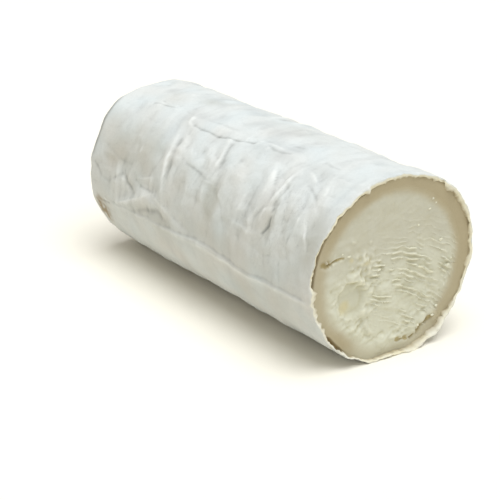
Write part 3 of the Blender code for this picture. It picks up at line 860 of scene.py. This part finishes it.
def rind_piece(looks):
    """The whole rind as one closed skin, from inside the lip round to the closed end."""
    profile = rind_profile()
    rings = len(profile)
    angles = uneven_steps(-180.0, 180.0, AROUND + 1, round_density)[:-1]
    degrees = np.tile(angles, rings)
    x, radius, part = [np.repeat([point[k] for point in profile], AROUND) for k in range(3)]
    height, width, gap, _, swell, white = [np.tile(value, rings) for value in lip_shape(angles)]
    lip = part == "lip"
    end = part == "end"
    station = np.where(lip, x, 0).astype(int)
    sloped = smooth_step(0.0012, 0.0022, width)
    flat_lip, sloped_lip = np.array(FLAT_LIP)[station], np.array(SLOPED_LIP)[station]
    climb, inward = [
        np.where(lip, (1 - sloped) * flat_lip[:, k] + sloped * sloped_lip[:, k], 0.0) for k in (0, 1)
    ]
    x = np.where(lip, CUT_X + np.where(climb > 0, climb * height, climb * (gap + 0.0006)), x)
    radius = np.where(lip, LOG_RADIUS - inward * width, radius)
    standing = lip & (climb > 0)
    crumbly = 0.0004 * rind_noise("crumbly lip", x + inward, degrees) * (inward > 0.05)
    x = np.where(standing, x + crumbly, x)
    curl = 0.0009 * np.tile(raggedness(angles, CURLED_RIM), rings)
    radius = np.where(standing, radius + (curl - 0.0004) * climb, radius)
    skin = np.where(lip, smooth_step(0.5, 0.0, inward), 1.0) * (part != "inner") * (part != "end")
    skin_x = np.where(end, END_X - (END_FACE_RADIUS - radius), x)
    fine, crease_shade_and_highlight = fine_relief(skin_x, degrees)
    fine = fine * looks.wrinkle_height * np.where(end, smooth_step(0.002, 0.018, radius), 1.0)
    broad = FOLD_SHARE * broad_relief(x, degrees) * (1 - 0.4 * smooth_step(CUT_X - 0.005, CUT_X, x))
    relief = broad + (1 - 0.6 * smooth_step(CUT_X - 0.003, CUT_X + 0.001, x)) * fine
    at_degrees, half_width, corner_out, corner_up = FAR_CORNER
    corner = bell(angle_between(degrees, at_degrees) / half_width) * smooth_step(0.016, 0.036, radius)
    corner = corner * smooth_step(END_X + 0.016, END_X + 0.002, x) * (part != "inner")
    wall = radius + skin * relief + swell * smooth_step(CUT_X - RIM_REACH, CUT_X, x) + corner_up * corner
    at_end = smooth_step(END_X + END_EDGE_RADIUS, END_X, x) * ((part == "edge") | end)
    pleats = end_pleats(radius, degrees)
    x_out = x - at_end * pleats - np.where(end, END_SHARE * fine, 0.0) - corner_out * corner
    points = in_frame(x_out, *section(wall, degrees))
    bumps = np.where(end, pleats + END_SHARE * fine, relief)
    crest = relief_tone(bumps, (rings, AROUND), 3, True, RIND_CREST) * np.where(end, 0.5, 1.0)
    colours = rind_colours(looks, skin_x, degrees, crest, crease_shade_and_highlight, part, inward, climb, white)
    ends = ((RIND_BACK[1], 0, REST_DROP), (END_X - END_DOME + DIMPLE, 0, REST_DROP))
    points = np.vstack((points, ends))
    colours = np.vstack((colours, colours[:1], colours[-1:]))
    faces = tube_faces(rings, AROUND)
    faces += cap_faces(0, AROUND, len(points) - 2, True)
    faces += cap_faces((rings - 1) * AROUND, AROUND, len(points) - 1, False)
    finish = cheese_finish("white rind", 0.8, 0.02, 900, 0.35)
    piece = add_piece("rind", points, faces, colours, finish, 75)
    spread = piece.data.attributes.new("spread", "FLOAT_VECTOR", "POINT")
    flat = np.zeros((len(points), 3), dtype=np.float32)
    flat[:-2] = np.stack((x, degrees * PER_DEGREE, crumpling(x, degrees)), axis=1)
    spread.data.foreach_set("vector", flat.ravel())
    return piece


def rind_colours(looks, x, degrees, crest, crease_shade_and_highlight, part, inward, climb, white):
    """White rind with greyer and tanner mottles, stains and patches, painted shade in creases, hollows and
    down the sides, painted highlights on crests, cream on the cut lip.
    """
    off_top = np.abs(degrees)
    side = smooth_step(15, 50, off_top)
    low = smooth_step(38, 78, off_top)
    grey = 0.14 + 0.34 * rind_noise("broad grey", x, degrees)
    grey += (0.60 + 0.05 * side) * rind_noise("grey", x, degrees)
    grey += 0.90 * (1 - side) * rind_noise("grey streaks", x, degrees)
    # Greyer in hollows and less grey on crests, from the local relief: painted shade and highlight. The
    # noise terms are the rind's own grey mottle.
    grey += 0.16 * rind_noise("fine grey", x, degrees) - 0.24 * np.clip(crest, -1.6, 1.4)
    colours = mix_colours(looks.rind_colour, looks.grey_and_hollow_shade_colour, grey)
    # Darker and warmer down the sides, away from the top: painted shade. The stains and patches are the
    # rind's own tone.
    side_shade_and_stains = 0.14 * low + 0.30 * smooth_step(36, 56, off_top)
    side_shade_and_stains += 0.25 * side * rind_noise("stains", x, degrees)
    for *spot, strength, sharp in PATCHES:
        side_shade_and_stains += strength * bell(from_spot(x, degrees, spot) ** (0.5 * sharp + 0.2))
    colours = mix_colours(colours, looks.side_shade_and_stain_colour, side_shade_and_stains)
    colours = colours * (1 + rind_noise("tints", x, degrees)[:, None] * TINT_SWING)
    # Painted highlights on crests, dimmer down the lower sides.
    crest_highlight = np.clip(-0.7 * crease_shade_and_highlight - 0.1, 0.0, 1.0) + np.clip(0.5 * crest - 0.35, 0.0, 0.6)
    colours = mix_colours(colours, looks.bloom_and_highlight_colour, crest_highlight * (1 - 0.4 * low))
    # Painted shade in creases and hollows.
    painted_shade = np.clip(0.55 * crease_shade_and_highlight - 0.04 - 0.10 * crest, 0.0, 0.8)
    painted_shade += np.clip(-0.14 * crest - 0.10, 0.0, 0.3)
    colours = mix_colours(colours, looks.crease_and_edge_shade_colour, painted_shade)
    torn = bell(from_spot(x, degrees, TORN_SPOT) ** 2) * (0.8 + 1.2 * rind_noise("torn rind", x, degrees))
    colours = mix_colours(colours, looks.torn_colour, torn)
    # Painted shadow line along the far edge, where it turns away from the light.
    far_edge_shade = bell((angle_between(degrees, SHADED_FAR_EDGE[0]) / SHADED_FAR_EDGE[1]) ** 3) * (part != "end")
    far_edge_shade = far_edge_shade * smooth_step(END_X + 0.0052, END_X + 0.0030, x)
    colours = mix_colours(colours, looks.crease_and_edge_shade_colour, 0.8 * far_edge_shade)
    # The lip's own whiteness from its table, a little whiter on its crests as painted highlight.
    whiter = white * (0.75 + 0.2 * np.clip(crest, -1, 1))
    lip_tint = mix_colours(looks.lip_colour, looks.bloom_and_highlight_colour, whiter)
    # Down its inner slope the lip turns to the ripened paste's tan: partly the paste's own colour, partly
    # painted shade at the foot.
    shaded = smooth_step(0.85, 0.1, climb) * (1 - 0.6 * white)
    lip_tint = mix_colours(lip_tint, looks.ring_edge_colour, shaded)
    cut = np.where(part == "lip", smooth_step(0.02, 0.25, inward), 0.0)
    colours = mix_colours(colours, lip_tint, cut)
    inner = (part == "inner") | ((part == "lip") & (climb < -0.1))
    return mix_colours(colours, looks.ring_edge_colour, 0.9 * inner)


def knife_ripples(flat, y, z):
    """The ripples that the knife left, as a share of their full height."""
    off_y, off_z = y - RIPPLE_CENTRE[0], z - RIPPLE_CENTRE[1]
    where = bell(np.hypot(off_y / RIPPLE_REACH[0], off_z / RIPPLE_REACH[1]) ** 1.8)
    where *= smooth_step(-0.017, -0.006, y)
    where *= 1 - 0.65 * smooth_step(0.003, 0.014, z)
    drift = 0.0013 * paste_noise("slow ripple drift", flat + (0, 0, 0.007))
    drift += 0.0008 * paste_noise("quick ripple drift", flat)
    lean = (RIPPLE_SLOPE - RIPPLE_FAN * off_z) * off_y
    phase = (z + lean + RIPPLE_ARCH * off_y * off_y + drift) / RIPPLE_PITCH
    saw = phase % 1.0
    ridge = np.where(saw < 0.66, smooth_step(0.36, 0.66, saw), smooth_step(1.0, 0.66, saw))
    row = np.floor(phase + 0.3) * 7.3
    broken = noise_at(np.stack((y / 0.0062, row, np.zeros(len(y))), axis=1), 1.0, 9.0)
    ridge = ridge * smooth_step(-0.14, 0.22, broken) * (0.8 + 0.9 * paste_noise("ripple height", flat))
    short = np.abs((phase * 1.9 + 0.8 * paste_noise("short ripples", flat)) % 1.0 - 0.5)
    short = short * smooth_step(-0.1, 0.3, paste_noise("short ripple patches", flat))
    return where, where * (ridge + 0.15 * short)


def small_lumps():
    """Seeded small lumps in their band on the cut."""
    draw = random.Random(LUMP_SEED)
    at_y, at_z, half_y, half_z = LUMP_BAND
    lumps = []
    for _ in range(SMALL_LUMPS):
        y = at_y + draw.gauss(0, 0.6) * half_y
        z = at_z + draw.gauss(0, 0.8) * half_z + 0.2 * draw.gauss(0, half_y)
        lumps.append((y, z, draw.uniform(0.0009, 0.0018), draw.uniform(0.0002, 0.0004)))
    return lumps


def face_relief(y, z, looks):
    """Height of the cut paste above its plane and depth of its cracks, over the core and the ring alike."""
    flat = np.stack((y + 0.5 * z, z - 0.5 * y, np.zeros(len(y))), axis=1)
    radius = np.hypot(y, z)
    core = smooth_step(CORE_RADIUS + 0.0004, CORE_RADIUS - 0.0025, radius)
    where, ripples = knife_ripples(flat, y, z)
    height = looks.ripple_height * ripples * core
    torn = smooth_step(0.012, -0.006, z - 0.2 * y + 0.5 * np.maximum(0, y))
    rough = 0.18 + 0.82 * torn * smooth_step(0.0335, 0.028, radius)
    rough *= (core * 0.9 + 0.1) * (1 - 0.7 * where)
    for at_y, at_z, half_y, half_z, depth in SCOOPS:
        away = np.hypot((y - at_y) / half_y, (z - at_z) / half_z)
        inside = smooth_step(1.22, 0.80, away * (1 + 0.16 * paste_noise("scoop rim", flat)))
        rough *= 1 - 0.85 * inside
        height -= depth * inside * (0.8 + 0.3 * bell(away))
    grain = COARSE_GRAIN * paste_noise("coarse grain", flat) + GRAIN * paste_noise("grain", flat)
    smeared = np.stack((flat[:, 0] / SMEAR_SIZE[0], flat[:, 1] / SMEAR_SIZE[1], flat[:, 2]), axis=1)
    grain += FINE_GRAIN * paste_noise("fine grain", flat) + SMEAR * noise_at(smeared, 1.0, 57.0)
    height += rough * grain * 1.4 + 0.0003 * paste_noise("swell", flat)
    ragged = 1 + 0.6 * paste_noise("lump rim", flat)
    for at_y, at_z, half, rise in list(LUMPS) + small_lumps():
        height += rise * smooth_step(1.4, 0.2, np.hypot(y - at_y, z - at_z) / half * ragged)
    pit = np.zeros(len(y))
    drift = 0.0014 * paste_noise("crack drift", flat)
    bridges = smooth_step(-0.55, -0.10, paste_noise("crack bridges", flat))
    for y1, z1, y2, z2, half, depth in CRACKS:
        _, across, past = off_segment((y1, z1), (y2, z2), y, z)
        inside = bell(np.hypot(across + drift, past) / half / 0.8 * ragged) * bridges
        height -= depth * inside
        pit = np.maximum(pit, smooth_step(0.25, 0.8, inside))
    return height, pit


def paste_colours(looks, y, z, crest, pit, degrees):
    """Chalky ivory in the middle, turning to translucent tan towards the rind, with painted shade in hollows
    and painted highlights on crests.
    """
    flat = np.stack((y, z, np.zeros(len(y))), axis=1)
    wander = 0.0014 * paste_noise("ring drift", flat) + 0.0005 * paste_noise("ring rim", flat)
    reach = np.hypot(y, z) + wander + 0.0013 * bell((degrees + 60) / 70)
    ring = smooth_step(CORE_RADIUS - 0.0040, CORE_RADIUS, reach)
    edge = smooth_step(CORE_RADIUS - 0.0018, CORE_RADIUS + 0.0016, reach)
    strength = along_table(RING_STRENGTH, 1, degrees)
    # Darker towards the top, where the knife left the paste smooth, and towards +Y.
    smooth = smooth_step(-0.006, 0.016, z - 0.1 * y) * 0.9 + 0.35 * smooth_step(0.012, 0.030, y)
    colours = mix_colours(looks.core_colour, looks.smooth_colour, smooth)
    colours = mix_colours(colours, looks.ring_colour, ring * strength)
    colours = mix_colours(colours, looks.ring_edge_colour, edge * strength)
    mottle = np.clip(0.5 + 1.1 * paste_noise("mottle", flat), 0, 1)
    # Painted shade in hollows of the relief, plus the paste's own random mottle.
    hollow_shade_and_mottle = np.clip(-0.36 * crest, 0, 0.55) * (1 - 0.6 * ring) + 0.12 * mottle * (1 - ring)
    colours = mix_colours(colours, looks.hollow_shade_and_mottle_colour, hollow_shade_and_mottle)
    for at_y, at_z, half_y, half_z, share in YELLOW_SPOTS:
        away = np.hypot((y - at_y) / half_y, (z - at_z) / half_z) * (1 + 0.5 * paste_noise("spot rim", flat))
        colours = mix_colours(colours, looks.yellow_colour, share * bell(away ** 1.6))
    # Painted highlight on raised crests of the paste.
    pale = np.clip(0.55 * crest - 0.1, 0, 1) * (1 - 0.8 * ring)
    colours = mix_colours(colours, looks.crumb_and_crest_highlight_colour, pale)
    return mix_colours(colours, looks.pit_colour, 0.75 * pit)


def paste_piece(looks):
    """The creamy layer: the ring that shows at the cut, and the rest of its cup behind."""
    outer = LOG_RADIUS - RIND_THICKNESS
    back, back_floor = PASTE_BACK
    floor = END_X + END_WALL
    front = np.linspace(0.0, 1.0, PASTE_STATIONS)
    start = CORE_RADIUS - 0.0006
    radii = start + (outer + 0.0002 - start) * (1 - (1 - front) ** 1.25)
    inside = [(floor, 0.5 * CORE_RADIUS), (floor, CORE_RADIUS), (CUT_X - 0.0030, CORE_RADIUS)]
    outside = [(CUT_X - 0.0044, outer - 0.0008), (CUT_X - 0.0068, back)]
    outside += [(back_floor, back), (back_floor, 0.018)]
    stations = inside + [(CUT_X, at) for at in radii] + outside
    rings = len(stations)
    angles = np.arange(PASTE_AROUND) * 360.0 / PASTE_AROUND - 180.0
    degrees = np.tile(angles, rings)
    x, radius = [np.repeat([station[k] for station in stations], PASTE_AROUND) for k in range(2)]
    face = np.repeat([0] * len(inside) + [1] * PASTE_STATIONS + [0] * len(outside), PASTE_AROUND) == 1
    turn = np.radians(degrees)
    y, z = -radius * np.sin(turn), radius * np.cos(turn)
    level, pit = face_relief(y, z, looks)
    gap, gap_width, swell = [np.tile(value, rings) for value in lip_shape(angles)[2:5]]
    near_rind = smooth_step(outer - gap_width, outer - 0.4 * gap_width, radius)
    sunk = 0.0001 * smooth_step(CORE_RADIUS, outer - 0.001, radius)
    under_core = FEATHER * smooth_step(CORE_RADIUS - 0.00015, CORE_RADIUS - 0.0004, radius)
    x = np.where(face, x + level - sunk - near_rind * gap - under_core, x)
    spread = swell * smooth_step(CORE_RADIUS, outer, radius) * smooth_step(CUT_X - RIM_REACH, CUT_X, x)
    y_out, z_out = section(radius + spread, degrees)
    points = in_frame(x, y_out, z_out)
    points[face, 0] = x[face] + CUT_SKEW * y_out[face]
    crest = np.where(face, relief_tone(level, (rings, PASTE_AROUND), 3, True, RING_CREST), 0.0)
    colours = paste_colours(looks, y, z, crest, pit, degrees)
    # Deep in the gap beside the rind the ripened paste turns darker brown: its own tan, with painted shade
    # in the gap.
    colours = mix_colours(colours, looks.slit_paste_and_shade_colour, near_rind * smooth_step(0.0006, 0.0020, gap))
    points = np.vstack((points, ((floor, 0, REST_DROP), (back_floor, 0, REST_DROP))))
    colours = np.vstack((colours, colours[:1], colours[:1]))
    faces = tube_faces(rings, PASTE_AROUND)
    faces += cap_faces(0, PASTE_AROUND, len(points) - 2, True)
    faces += cap_faces((rings - 1) * PASTE_AROUND, PASTE_AROUND, len(points) - 1, False)
    finish = cheese_finish("creamy paste", 0.6, 0.02, 700)
    return add_piece("creamy_paste", points, faces, colours, finish, 60)


def core_piece(looks):
    """The chalky core: a fine disc with the marks of the knife, closed back to the far end."""
    steps = np.linspace(-1.0, 1.0, CORE_STEPS)
    across, up = [grid.ravel() for grid in np.meshgrid(steps, steps, indexing="ij")]
    y = CORE_RADIUS * across * np.sqrt(1 - up * up / 2)
    z = CORE_RADIUS * up * np.sqrt(1 - across * across / 2)
    level, pit = face_relief(y, z, looks)
    height = level - FEATHER * smooth_step(CORE_RADIUS - 0.0003, CORE_RADIUS, np.hypot(y, z))
    z_out = np.where(z > 0, TOP_SAG * z, z) + REST_DROP
    points = np.stack((CUT_X + CUT_SKEW * y + height, y, z_out), axis=1)
    crest = relief_tone(level, (CORE_STEPS, CORE_STEPS), 4, False, CORE_CREST)
    colours = paste_colours(looks, y, z, crest, pit, np.degrees(np.arctan2(-y, z)))
    index = np.arange(CORE_STEPS * CORE_STEPS).reshape(CORE_STEPS, CORE_STEPS)
    quads = np.stack((index[:-1, :-1], index[1:, :-1], index[1:, 1:], index[:-1, 1:]), axis=2)
    rim = np.concatenate((index[:-1, 0], index[-1, :-1], index[:0:-1, -1], index[0, :0:-1]))
    count = len(rim)
    first = len(points)
    back = points[rim].copy()
    back[:, 0] = CORE_BOX[0][0]
    points = np.vstack((points, back, ((CORE_BOX[0][0], 0.0, REST_DROP),)))
    colours = np.vstack((colours, colours[rim], colours[:1]))
    faces = quads.reshape(-1, 4).tolist()
    for k in range(count):
        ahead = (k + 1) % count
        faces.append((rim[ahead], rim[k], first + k, first + ahead))
        faces.append((first + ahead, first + k, first + count))
    finish = cheese_finish("chalky paste", 0.65, 0.02, 700)
    return add_piece("chalky_core_paste", points, faces, colours, finish, 60)


def lump(radius, seed):
    """Points and faces of one rough crumb about the origin."""
    rows, around = 9, 14
    points, faces = [], []
    for row in range(rows + 1):
        tilt = math.pi * row / rows
        for k in range(around if 0 < row < rows else 1):
            turn = 2 * math.pi * k / around
            way = Vector((math.sin(tilt) * math.cos(turn), math.sin(tilt) * math.sin(turn), math.cos(tilt)))
            swell = 1 + 0.5 * noise.noise(way * 1.6 + Vector((seed, 0, 0)))
            swell += 0.25 * noise.noise(way * 4 + Vector((0, seed, 0)))
            points.append(way * radius * swell)
    rings = [[1 + (row - 1) * around + k for k in range(around)] for row in range(1, rows)]
    rings = [[0]] + rings + [[len(points) - 1]]
    for upper, lower in zip(rings, rings[1:]):
        for k in range(around):
            top, bottom = [[ring[step % len(ring)] for step in (k, k + 1)] for ring in (upper, lower)]
            faces.append(tuple(dict.fromkeys((top[0], bottom[0], bottom[1], top[1]))))
    return points, faces


def crumb_piece(looks):
    """Loose crumbs of paste pressed on the cut face."""
    spots = np.array(CRUMBS)
    y, z = spots[:, 0] / 1000, spots[:, 1] / 1000
    height, _ = face_relief(y, z, looks)
    points, faces = [], []
    draw = random.Random(CRUMB_SEED)
    for at_y, at_z, at_height, size in zip(y, z, height, spots[:, 2] / 1000):
        crumb, sides = lump(size, draw.uniform(0, 50))
        base = len(points)
        at_x = CUT_X + CUT_SKEW * at_y + at_height + 0.15 * size
        middle = Vector((at_x, at_y, (TOP_SAG if at_z > 0 else 1) * at_z + REST_DROP))
        stretch = Vector((0.55, draw.uniform(0.9, 1.4), draw.uniform(0.6, 0.95)))
        points += [middle + corner * stretch for corner in crumb]
        faces += [tuple(base + k for k in side) for side in sides]
    shade = np.tile(looks.crumb_and_crest_highlight_colour, (len(points), 1))
    finish = cheese_finish("crumbs of paste", 0.65, 0.02, 900)
    return add_piece("crumbs", np.array(points), faces, shade, finish, 75)


def colour_property(name, description, default):
    return bpy.props.FloatVectorProperty(
        name=name, description=description, default=default, size=3, min=0.0, max=1.0, subtype="COLOR"
    )


def number_property(name, description, default, low=0.0, **more):
    return bpy.props.FloatProperty(name=name, description=description, default=default, min=low, **more)


def vector_property(name, description, default, subtype, **more):
    return bpy.props.FloatVectorProperty(
        name=name, description=description, default=default, subtype=subtype, **more
    )


class CheeseLooks(bpy.types.PropertyGroup):
    wrinkle_height: number_property(
        "Wrinkle height", "How strongly the rind's fine wrinkles stand out", 1.0, max=2.0
    )
    ripple_height: number_property(
        "Knife ripples", "Height of the ripples that the knife left", 0.0011,
        max=0.002, unit="LENGTH", subtype="DISTANCE", precision=5,
    )
    rind_colour: colour_property("Rind", "White rind between folds", (0.725, 0.755, 0.745))
    # White of the bloom on the cut lip, also used for painted highlights on crests.
    bloom_and_highlight_colour: colour_property("Bloom", "Whitest crests of the rind", (0.84, 0.86, 0.84))
    # Colour for the painted shade down the sides and for the rind's tanner stains and patches.
    side_shade_and_stain_colour: colour_property(
        "Rind hollows", "Greyer, tanner rind in hollows and stains", (0.53, 0.528, 0.478)
    )
    # Grey of the rind's mottles, also used for painted shade in hollows.
    grey_and_hollow_shade_colour: colour_property(
        "Rind in crumples", "Slightly greyer rind between crests", (0.61, 0.635, 0.63)
    )
    # Colour of the painted shade in creases and along the far edge.
    crease_and_edge_shade_colour: colour_property("Creases", "Darkest creases of the rind", (0.27, 0.28, 0.26))
    torn_colour: colour_property("Torn rind", "Paste that shows where the rind is torn", (0.35, 0.285, 0.19))
    lip_colour: colour_property("Cut lip", "Cut edge of the rind", (0.78, 0.73, 0.54))
    ring_colour: colour_property("Creamy layer", "Ripened paste under the rind", (0.475, 0.425, 0.295))
    ring_edge_colour: colour_property(
        "Edge of the creamy layer", "Ripened paste right under the rind", (0.43, 0.37, 0.24)
    )
    core_colour: colour_property("Core", "Chalky paste", (0.655, 0.658, 0.545))
    # Also used for the darker +Y side of the cut.
    smooth_colour: colour_property(
        "Smooth core", "Chalky paste where the knife left it smooth", (0.555, 0.545, 0.452)
    )
    yellow_colour: colour_property("Yellow spots", "Yellower spots of the chalky paste", (0.66, 0.59, 0.34))
    pit_colour: colour_property("Cracks", "Paste deep in the cracks", (0.40, 0.32, 0.14))
    # Tan of the ripened paste with painted shade, deep in the gap beside the rind.
    slit_paste_and_shade_colour: colour_property("Slit", "Ripened paste deep in the gap beside the rind", (0.38, 0.27, 0.13))
    # Colour of the painted shade in hollows and of the paste's mottle.
    hollow_shade_and_mottle_colour: colour_property("Core hollows", "Chalky paste in hollows and cracks", (0.51, 0.475, 0.30))
    # Colour of the loose crumbs, also used for painted highlights on crests of the cut.
    crumb_and_crest_highlight_colour: colour_property("Crumbs", "Crests and crumbs of the chalky paste", (0.75, 0.74, 0.60))


class CheeseStage(bpy.types.PropertyGroup):
    floor_colour: colour_property("Floor", "Plain pale floor", (0.97, 0.935, 0.845))
    sky_colour: colour_property(
        "Surrounding light", "Colour of the soft light from all round", (1.0, 0.965, 0.90)
    )
    sky_strength: number_property(
        "Surrounding light strength", "Strength of the soft light from all round", 0.41
    )
    lamp_colour: colour_property("Lamp", "Colour of the broad lamp overhead", (0.946, 0.975, 1.0))
    lamp_strength: number_property("Lamp strength", "Strength of the broad lamp overhead", 2.65)
    lamp_spread: number_property(
        "Lamp spread", "How soft the lamp's shadows are", math.radians(50),
        unit="ROTATION", subtype="ANGLE",
    )
    lamp_way: vector_property("Lamp direction", "The way the lamp shines", (-0.25, 0.03, -1.0), "DIRECTION")
    camera_place: vector_property(
        "Camera place", "Where the camera stands", (0.4130, -0.3263, 0.2470), "TRANSLATION", unit="LENGTH"
    )
    camera_way: vector_property(
        "Camera direction", "The way the camera looks", (-0.7275, 0.5586, -0.3985), "DIRECTION"
    )
    camera_lens: number_property("Lens", "Focal length on a 36 mm wide sensor, in mm", 93.19, low=1.0)


class CHEESE_OT_rind(bpy.types.Operator):
    """Build the wrinkled white rind"""

    bl_idname = "cheese.rind"
    bl_label = "Rind"

    def execute(self, context):
        piece = rind_piece(context.scene.cheese_looks)
        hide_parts("ripened_layer")
        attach(piece, "root")
        return {"FINISHED"}


class CHEESE_OT_paste(bpy.types.Operator):
    """Build the creamy paste under the rind"""

    bl_idname = "cheese.paste"
    bl_label = "Creamy paste"

    def execute(self, context):
        piece = paste_piece(context.scene.cheese_looks)
        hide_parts("ripened_layer")
        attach(piece, "root")
        return {"FINISHED"}


class CHEESE_OT_core(bpy.types.Operator):
    """Build the chalky core and the marks that the knife left on it"""

    bl_idname = "cheese.core"
    bl_label = "Chalky core"

    def execute(self, context):
        piece = core_piece(context.scene.cheese_looks)
        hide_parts("chalky_core")
        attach(piece, "root")
        return {"FINISHED"}


class CHEESE_OT_crumbs(bpy.types.Operator):
    """Scatter crumbs on the cut face"""

    bl_idname = "cheese.crumbs"
    bl_label = "Crumbs"

    def execute(self, context):
        piece = crumb_piece(context.scene.cheese_looks)
        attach(piece, "root")
        return {"FINISHED"}


def add_floor(colour):
    """A plain flat floor under the log."""
    finish = bpy.data.materials.new("pale floor")
    finish.use_nodes = True
    shader = finish.node_tree.nodes["Principled BSDF"]
    shader.inputs["Base Color"].default_value = (*colour, 1.0)
    shader.inputs["Roughness"].default_value = 0.9
    shader.inputs["Specular IOR Level"].default_value = 0.0
    corners = [(x * FLOOR_HALF, y * FLOOR_HALF, 0) for x, y in ((-1, -1), (1, -1), (1, 1), (-1, 1))]
    mesh = bpy.data.meshes.new("floor")
    mesh.from_pydata(corners, [], [(0, 1, 2, 3)])
    mesh.materials.append(finish)
    return add_object("floor", mesh)


class CHEESE_OT_stage(bpy.types.Operator):
    """Build the floor, the light and the camera"""

    bl_idname = "cheese.stage"
    bl_label = "Stage"

    def execute(self, context):
        scene = context.scene
        stage = scene.cheese_stage
        floor = add_floor(stage.floor_colour)
        sun = bpy.data.lights.new("broad_lamp", "SUN")
        sun.color = stage.lamp_colour
        sun.energy = stage.lamp_strength
        sun.angle = stage.lamp_spread
        lamp = add_object("broad_lamp", sun)
        lamp.rotation_euler = Vector(stage.lamp_way).to_track_quat("-Z", "Y").to_euler()
        world = bpy.data.worlds.new("soft surround")
        world.use_nodes = True
        sky = world.node_tree.nodes["Background"]
        sky.inputs["Color"].default_value = (*stage.sky_colour, 1.0)
        sky.inputs["Strength"].default_value = stage.sky_strength
        scene.world = world
        camera = bpy.data.cameras.new("camera")
        camera.lens = stage.camera_lens
        camera.sensor_width = 36.0
        camera.sensor_fit = "HORIZONTAL"
        camera.clip_start = 0.01
        eye = add_object("camera", camera)
        eye.location = stage.camera_place
        eye.rotation_euler = Vector(stage.camera_way).to_track_quat("-Z", "Y").to_euler()
        scene.camera = eye
        scene.view_settings.view_transform = "Standard"
        scene.view_settings.look = "None"
        return {"FINISHED"}


class CHEESE_PT_panel(bpy.types.Panel):
    bl_label = "Goat cheese log"
    bl_idname = "CHEESE_PT_panel"
    bl_space_type = "VIEW_3D"
    bl_region_type = "UI"
    bl_category = "Cheese"

    def draw(self, context):
        column = self.layout.column()
        for made in OPERATORS:
            column.operator(made.bl_idname)
        for group in (context.scene.cheese_looks, context.scene.cheese_stage):
            for name in group.__annotations__:
                column.prop(group, name)


OPERATORS = (CHEESE_OT_rind, CHEESE_OT_paste, CHEESE_OT_core, CHEESE_OT_crumbs, CHEESE_OT_stage)
CLASSES = (CheeseLooks, CheeseStage) + OPERATORS + (CHEESE_PT_panel,)


def register():
    for made in CLASSES:
        bpy.utils.register_class(made)
    bpy.types.Scene.cheese_looks = bpy.props.PointerProperty(type=CheeseLooks)
    bpy.types.Scene.cheese_stage = bpy.props.PointerProperty(type=CheeseStage)


def unregister():
    del bpy.types.Scene.cheese_stage
    del bpy.types.Scene.cheese_looks
    for made in reversed(CLASSES):
        bpy.utils.unregister_class(made)


def main():
    register()
    bpy.ops.cheese.rind()
    bpy.ops.cheese.paste()
    bpy.ops.cheese.core()
    bpy.ops.cheese.crumbs()
    bpy.ops.cheese.stage()


if __name__ == "__main__":
    main()
